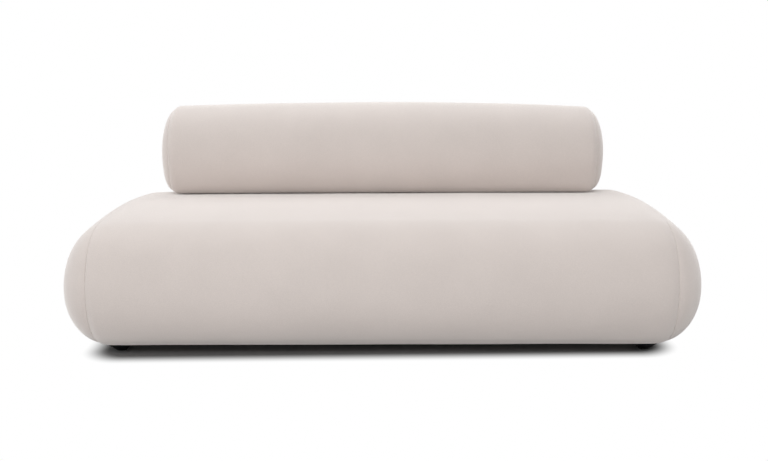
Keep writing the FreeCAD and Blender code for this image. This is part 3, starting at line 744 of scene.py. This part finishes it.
def add_node(material, kind, **values):
    """New node with its sockets set by name, an underscore standing for a space."""
    node = material.node_tree.nodes.new(kind)
    for name, value in values.items():
        node.inputs[name.replace("_", " ")].default_value = value
    return node


def link(material, source, target):
    """Joins two sockets of a material's nodes."""
    material.node_tree.links.new(source, target)


def object_place(material, stretch=(1.0, 1.0, 1.0)):
    """Object coordinates, stretched along the axes."""
    place = add_node(material, "ShaderNodeTexCoord")
    mapping = add_node(material, "ShaderNodeMapping", Scale=stretch)
    link(material, place.outputs["Object"], mapping.inputs["Vector"])
    return mapping.outputs["Vector"]


def noise_on(material, place, scale, detail):
    """Noise of a given scale at a place on the piece."""
    node = add_node(material, "ShaderNodeTexNoise", Scale=scale, Detail=detail)
    link(material, place, node.inputs["Vector"])
    return node.outputs["Fac"]


def two_tone(material, factor, dark, light, low=0.3, high=0.7):
    """Colour that runs from dark to light with a factor."""
    ramp = add_node(material, "ShaderNodeValToRGB")
    ramp.color_ramp.elements[0].position = low
    ramp.color_ramp.elements[0].color = (*dark, 1.0)
    ramp.color_ramp.elements[1].position = high
    ramp.color_ramp.elements[1].color = (*light, 1.0)
    link(material, factor, ramp.inputs["Fac"])
    return ramp.outputs["Color"]


def summed(material, first, second, share):
    """Mix of two factors, with the given share of the second."""
    mix = add_node(material, "ShaderNodeMix", Factor=share)
    link(material, first, mix.inputs["A"])
    link(material, second, mix.inputs["B"])
    return mix.outputs["Result"]


def bumped(material, shader, height, strength, distance):
    """Gives the shader a relief from a height."""
    bump = add_node(material, "ShaderNodeBump", Strength=strength, Distance=distance)
    link(material, height, bump.inputs["Height"])
    link(material, bump.outputs["Normal"], shader.inputs["Normal"])


def shaded(colour, factor):
    """Colour made darker or lighter by a factor."""
    return tuple(channel * factor for channel in colour)


def grain_tones(material, grain, colour, contrast):
    """Tones of a colour that follow a grain."""
    return two_tone(material, grain, shaded(colour, 1 - contrast), shaded(colour, 1 + contrast))


def greige_velour():
    """Fine matte velour: short pile over a close twill, with a faint nap."""
    material, shader = new_material("greige_velour", velour_colour, velour_roughness)
    shader.inputs["Sheen Weight"].default_value = sheen_weight
    shader.inputs["Sheen Roughness"].default_value = sheen_roughness
    shader.inputs["Sheen Tint"].default_value = sheen_tint
    shader.inputs["Specular IOR Level"].default_value = velour_specular
    place = object_place(material)
    nap = noise_on(material, place, nap_scale, grain_detail)
    pile = noise_on(material, place, pile_scale, grain_detail)
    tone = summed(material, nap, pile, pile_tone_share)
    link(material, grain_tones(material, tone, velour_colour, velour_contrast), shader.inputs["Base Color"])
    twill = add_node(material, "ShaderNodeTexWave", Scale=twill_scale, Distortion=twill_distortion)
    twill.bands_direction = "DIAGONAL"
    link(material, place, twill.inputs["Vector"])
    height = summed(material, twill.outputs["Fac"], pile, pile_relief_share)
    bumped(material, shader, height, *weave_relief)
    return material


def grained_wood(name, dark, light, scale):
    """Timber with its grain along X."""
    material, shader = new_material(name, light, wood_roughness)
    place = object_place(material, wood_stretch)
    grain = noise_on(material, place, scale, wood_detail)
    fibre = noise_on(material, place, scale * fibre_ratio, fibre_detail)
    tone = summed(material, grain, fibre, fibre_share)
    link(material, two_tone(material, tone, dark, light, *wood_ramp), shader.inputs["Base Color"])
    bumped(material, shader, tone, *wood_relief)
    return material


def speckled(name, colour, roughness, scale, contrast, relief, metallic=0.0, specular=0.5):
    """Finish with a fine even grain in its tone and its surface."""
    material, shader = new_material(name, colour, roughness, metallic)
    shader.inputs["Specular IOR Level"].default_value = specular
    place = object_place(material)
    grain = noise_on(material, place, scale, grain_detail)
    link(material, grain_tones(material, grain, colour, contrast), shader.inputs["Base Color"])
    bumped(material, shader, grain, *relief)
    return material


def make_finishes():
    """Material of each slot in the record."""
    made = {"greige_fabric": greige_velour()}
    for slot_name, values in wood_finishes.items():
        made[slot_name] = grained_wood(*values)
    for slot_name, values in speckled_finishes.items():
        made[slot_name] = speckled(**values)
    return made


# Stage, light and camera
photo_width = 768
camera_focal_pixels = 950.04
camera_place = (0.02318, -3.26776, 0.95179)
camera_yaw = -0.00553
camera_pitch = 0.18821
camera_roll = 0.0046
sensor_width = 36.0
camera_far = 100.0
floor_reach = 15.0
floor_colour = 0.6
# Floor colour that the camera sees round the base: painted shade, darker than the floor's own colour, over
# the cast shadow there
painted_shadow_colour = 0.18
# Floor area with the painted shadow, seen darker by the camera and fading to white outward: half size,
# fade, turn and shift along X
painted_shadow_half = (0.82, 0.30)
painted_shadow_fade = (0.06, 0.148)
painted_shadow_turn = -0.022
painted_shadow_shift = 0.01
# Strength of the world's light from the horizon to straight up
sky_levels = (0.78, 0.84, 0.53, 0.0, 1.5)
# Place, aim, size and power of each lamp
soft_boxes = {
    "front_softbox": ((-0.8, -4.5, 2.8), (0.0, -0.3, 0.2), (3.0, 0.9), 84.0),
    "left_softbox": ((-3.6, 0.4, 1.9), (0.0, 0.0, 0.4), (2.0, 1.6), 14.5),
    "rear_softbox": ((0.0, 1.6, 3.2), (0.0, 0.0, 0.3), (3.0, 1.6), 44.0),
}


def photo_camera():
    """Camera fitted to the photograph's outlines."""
    forward = Vector((math.sin(camera_yaw) * math.cos(camera_pitch),
                      math.cos(camera_yaw) * math.cos(camera_pitch), -math.sin(camera_pitch)))
    level = Vector((math.cos(camera_yaw), -math.sin(camera_yaw), 0.0))
    upright = level.cross(forward)
    right = level * math.cos(camera_roll) - upright * math.sin(camera_roll)
    up = level * math.sin(camera_roll) + upright * math.cos(camera_roll)
    lens = bpy.data.cameras.new("photo_camera")
    lens.sensor_width = sensor_width
    lens.lens = camera_focal_pixels * sensor_width / photo_width
    lens.clip_end = camera_far
    camera = bpy.data.objects.new("photo_camera", lens)
    turn = Matrix((right, up, -forward)).transposed().to_4x4()
    camera.matrix_world = Matrix.Translation(camera_place) @ turn
    scene.collection.objects.link(camera)
    scene.camera = camera


def seen_directly(tree):
    """Factor that is 1 for rays from the camera, mirrors and glass, and 0 for cast light."""
    path = tree.nodes.new("ShaderNodeLightPath")
    factor = path.outputs["Is Camera Ray"]
    for ray in ("Is Glossy Ray", "Is Transmission Ray"):
        larger = tree.nodes.new("ShaderNodeMath")
        larger.operation = "MAXIMUM"
        tree.links.new(factor, larger.inputs[0])
        tree.links.new(path.outputs[ray], larger.inputs[1])
        factor = larger.outputs["Value"]
    return factor


def white_world():
    """World that lights softly by height, and is seen as white."""
    world = bpy.data.worlds.new("studio")
    world.use_nodes = True
    scene.world = world
    tree = world.node_tree
    background = tree.nodes["Background"]
    background.inputs["Color"].default_value = (1.0, 1.0, 1.0, 1.0)
    direction = tree.nodes.new("ShaderNodeTexCoord")
    split = tree.nodes.new("ShaderNodeSeparateXYZ")
    tree.links.new(direction.outputs["Generated"], split.inputs["Vector"])
    fill = tree.nodes.new("ShaderNodeValToRGB")
    tree.links.new(split.outputs["Z"], fill.inputs["Fac"])
    stops = fill.color_ramp.elements
    for step in range(1, len(sky_levels) - 1):
        stops.new(step / (len(sky_levels) - 1))
    for stop, level in zip(stops, sky_levels):
        stop.color = (level, level, level, 1.0)
    strength = tree.nodes.new("ShaderNodeMapRange")
    strength.inputs["To Max"].default_value = 1.0
    tree.links.new(fill.outputs["Color"], strength.inputs["To Min"])
    tree.links.new(seen_directly(tree), strength.inputs["Value"])
    tree.links.new(strength.outputs["Result"], background.inputs["Strength"])


def out_of_painted_shadow(tree):
    """Factor that rises from 0 in the painted shadow under the base to 1 on the open floor."""
    floor_place = tree.nodes.new("ShaderNodeTexCoord")
    turned = tree.nodes.new("ShaderNodeMapping")
    turned.inputs["Location"].default_value = (painted_shadow_shift, 0.0, 0.0)
    turned.inputs["Rotation"].default_value = (0.0, 0.0, painted_shadow_turn)
    tree.links.new(floor_place.outputs["Object"], turned.inputs["Vector"])
    place = turned.outputs["Vector"]
    steps = (("ABSOLUTE", None), ("SUBTRACT", (*painted_shadow_half, 0.0)), ("MAXIMUM", (0.0, 0.0, 0.0)))
    for operation, value in steps:
        step = tree.nodes.new("ShaderNodeVectorMath")
        step.operation = operation
        tree.links.new(place, step.inputs[0])
        if value:
            step.inputs[1].default_value = value
        place = step.outputs["Vector"]
    distance = tree.nodes.new("ShaderNodeVectorMath")
    distance.operation = "LENGTH"
    tree.links.new(place, distance.inputs[0])
    fade = tree.nodes.new("ShaderNodeMapRange")
    fade.interpolation_type = "SMOOTHSTEP"
    fade.inputs["From Min"].default_value = painted_shadow_fade[0]
    fade.inputs["From Max"].default_value = painted_shadow_fade[1]
    tree.links.new(distance.outputs["Value"], fade.inputs["Value"])
    return fade.outputs["Result"]


def studio_floor():
    """Pale floor that keeps its cast shadow round the base, with a painted shadow there: the camera sees it
    darker near the base and white farther out.
    """
    bm = bmesh.new()
    bmesh.ops.create_grid(bm, x_segments=1, y_segments=1, size=floor_reach)
    floor = new_piece("studio_floor", bm)
    material = bpy.data.materials.new("pale_floor")
    material.use_nodes = True
    tree = material.node_tree
    tree.nodes.remove(tree.nodes["Principled BSDF"])
    surface = tree.nodes.new("ShaderNodeBsdfDiffuse")
    seen = seen_directly(tree)
    # The camera sees the floor in the darker painted shadow colour: painted shade over the cast shadow
    tone = tree.nodes.new("ShaderNodeMapRange")
    tone.inputs["To Min"].default_value = floor_colour
    tone.inputs["To Max"].default_value = painted_shadow_colour
    tree.links.new(seen, tone.inputs["Value"])
    tree.links.new(tone.outputs["Result"], surface.inputs["Color"])
    white = tree.nodes.new("ShaderNodeEmission")
    whiteness = tree.nodes.new("ShaderNodeMath")
    whiteness.operation = "MULTIPLY"
    tree.links.new(seen, whiteness.inputs[0])
    tree.links.new(out_of_painted_shadow(tree), whiteness.inputs[1])
    mix = tree.nodes.new("ShaderNodeMixShader")
    tree.links.new(whiteness.outputs["Value"], mix.inputs["Fac"])
    tree.links.new(surface.outputs["BSDF"], mix.inputs[1])
    tree.links.new(white.outputs["Emission"], mix.inputs[2])
    tree.links.new(mix.outputs["Shader"], tree.nodes["Material Output"].inputs["Surface"])
    floor.data.materials.append(material)


def soft_box(name, place, aim, size, power):
    """Rectangular lamp turned towards a point."""
    lamp = bpy.data.lights.new(name, "AREA")
    lamp.shape = "RECTANGLE"
    lamp.size = size[0]
    lamp.size_y = size[1]
    lamp.energy = power
    light = bpy.data.objects.new(name, lamp)
    light.location = place
    light.rotation_euler = (Vector(aim) - Vector(place)).to_track_quat("-Z", "Y").to_euler()
    scene.collection.objects.link(light)


# Build
def add_to_part(piece, body, slot_name, *nodes):
    """Gives a piece its finish and body, and hides the CAD nodes that it stands for."""
    piece.data.materials.append(finishes[slot_name])
    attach(piece, body)
    if nodes:
        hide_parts(*nodes)


finishes = make_finishes()
for part in frame["record"]["subparts"]:
    node_mesh = frame["nodes"][part["node"]].data
    node_mesh.materials.clear()
    node_mesh.materials.append(finishes[part["material_slot"]])

# Covers, and the solids that each stands for
base_pieces = {
    "base_wrap": ("base_wrap_cover", "seat_foam", "seat_topper", "front_foam", "rear_foam"),
    "base_end_left": ("base_left_end_panel", "left_end_foam"),
    "base_end_right": ("base_right_end_panel", "right_end_foam"),
}
bolster_pieces = {
    "bolster_wrap": ("bolster_wrap_cover", "bolster_foam"),
    "bolster_end_left": ("bolster_left_end_panel", "bolster_left_end_foam"),
    "bolster_end_right": ("bolster_right_end_panel", "bolster_right_end_foam"),
}
sides = {"left": -1, "right": 1}
covers = []
for cover_name in base_pieces:
    covers.append(base_cover(cover_name, sides.get(cover_name.split("_")[-1], 0)))
for cover_name in bolster_pieces:
    covers.append(bolster_cover(cover_name, sides.get(cover_name.split("_")[-1], 0)))
settle(covers)
for cover in covers:
    slit_rims = finish_cover(cover)
    body_name = cover.name.split("_")[0]
    add_to_part(cover, body_name, "greige_fabric", *{**base_pieces, **bolster_pieces}[cover.name])
    if slit_rims:
        add_to_part(bound_edges(body_name + "_slit_binding", slit_rims), body_name, "greige_fabric")

add_to_part(dust_cover(), "base", "black_lining_cloth", "dust_cover")
add_to_part(lining_staples(), "base", "zinc_plated_steel")

photo_camera()
white_world()
studio_floor()
for lamp_name, lamp_values in soft_boxes.items():
    soft_box(lamp_name, *lamp_values)
scene.view_settings.view_transform = "Standard"
